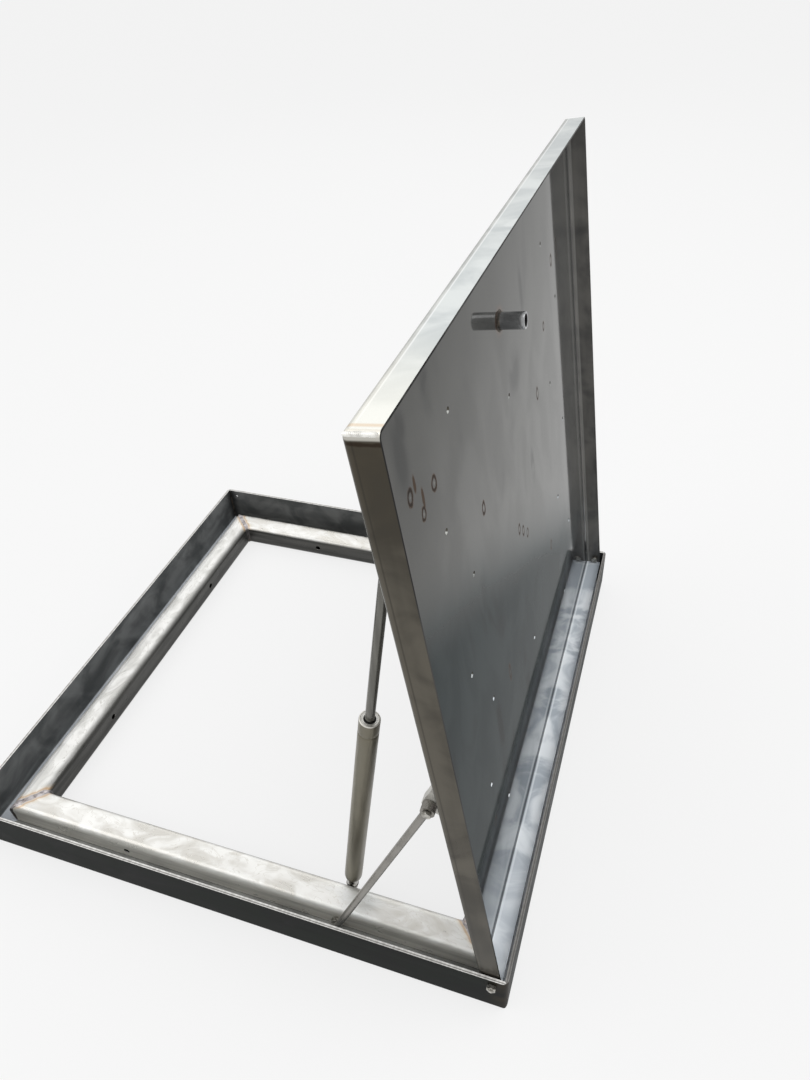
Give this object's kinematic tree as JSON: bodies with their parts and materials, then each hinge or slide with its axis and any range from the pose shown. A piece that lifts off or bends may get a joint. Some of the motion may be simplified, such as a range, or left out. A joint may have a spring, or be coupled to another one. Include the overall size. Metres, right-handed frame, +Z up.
{
  "type": "recessed access cover",
  "caption": "Square stainless recessed floor access cover, open: tray lid on pivot bolts in a welded angle frame with a tube seat, held up by a gas strut and a stay rod.",
  "frame": {"origin": "middle of the frame's footprint, on the floor under the frame", "axes": "+X to the hinge side, +Y to the back (the strut is at the front), +Z up"},
  "size_m": [0.74, 0.753, 0.7539],
  "materials": {
    "frame_steel": "dull satin, smudged",
    "tube_steel": "satin, stained at the welds",
    "lid_steel": "half-bright rolled sheet",
    "bracket_steel": "satin",
    "fastener_steel": "bright plated",
    "stay_steel": "drawn bar",
    "strut_paint": "satin grey paint",
    "strut_black": "dull black",
    "rod_chrome": "polished"
  },
  "bodies": {
    "frame": {"frame_angle_front": "frame_steel", "frame_angle_right": "frame_steel", "frame_angle_back": "frame_steel", "frame_angle_left": "frame_steel", "curb_tube_front": "tube_steel", "curb_tube_right": "tube_steel", "curb_tube_back": "tube_steel", "curb_tube_left": "tube_steel", "pivot_bolts": "fastener_steel", "pivot_washers": "fastener_steel", "pivot_nuts": "fastener_steel", "lower_ball_stud": "fastener_steel", "lower_stud_nut": "fastener_steel"},
    "lid": {"lid_tray": "lid_steel", "key_socket": "bracket_steel", "brace_long": "bracket_steel", "brace_short_front": "bracket_steel", "brace_short_back": "bracket_steel", "strut_bracket": "bracket_steel", "upper_stud_shank": "fastener_steel", "upper_stud_nut": "fastener_steel", "stay_bracket": "bracket_steel", "stay_bolt": "fastener_steel", "stay_nut": "fastener_steel"},
    "strut_body": {"strut_cylinder": "strut_paint", "strut_gland": "strut_black", "lower_ball_socket": "fastener_steel"},
    "strut_ram": {"strut_rod": "rod_chrome", "upper_ball_socket": "fastener_steel", "upper_ball_stud": "fastener_steel"},
    "stay": {"stay_rod": "stay_steel"}
  },
  "joints": [
    {"name": "lid_hinge", "type": "hinge", "parent": "frame", "child": "lid", "pos_m": [0.3525, 0, 0.055], "axis": [0, 1, 0], "range_deg": [-83, 0]},
    {"name": "strut_swing", "type": "hinge", "parent": "frame", "child": "strut_body", "pos_m": [0.152, -0.289, 0.019], "axis": [0, 1, 0], "range_deg": [-99, 0]},
    {"name": "strut_slide", "type": "slide", "parent": "strut_body", "child": "strut_ram", "axis": [0.155, 0, 0.9879], "range_m": [-0.2362, 0], "stiffness_N_per_m": 100, "springref_m": 1.1},
    {"name": "stay_swing", "type": "hinge", "parent": "lid", "child": "stay", "pos_m": [0.28704, -0.355, 0.35425], "axis": [0, 1, 0], "range_deg": [0, 148.3]}
  ],
  "couplings": [
    {"joint": "strut_swing", "follows": "lid_hinge", "ratio": 1.1821},
    {"joint": "strut_slide", "follows": "lid_hinge", "m_per_rad": 0.16286},
    {"joint": "stay_swing", "follows": "lid_hinge", "ratio": -1.7851}
  ]
}
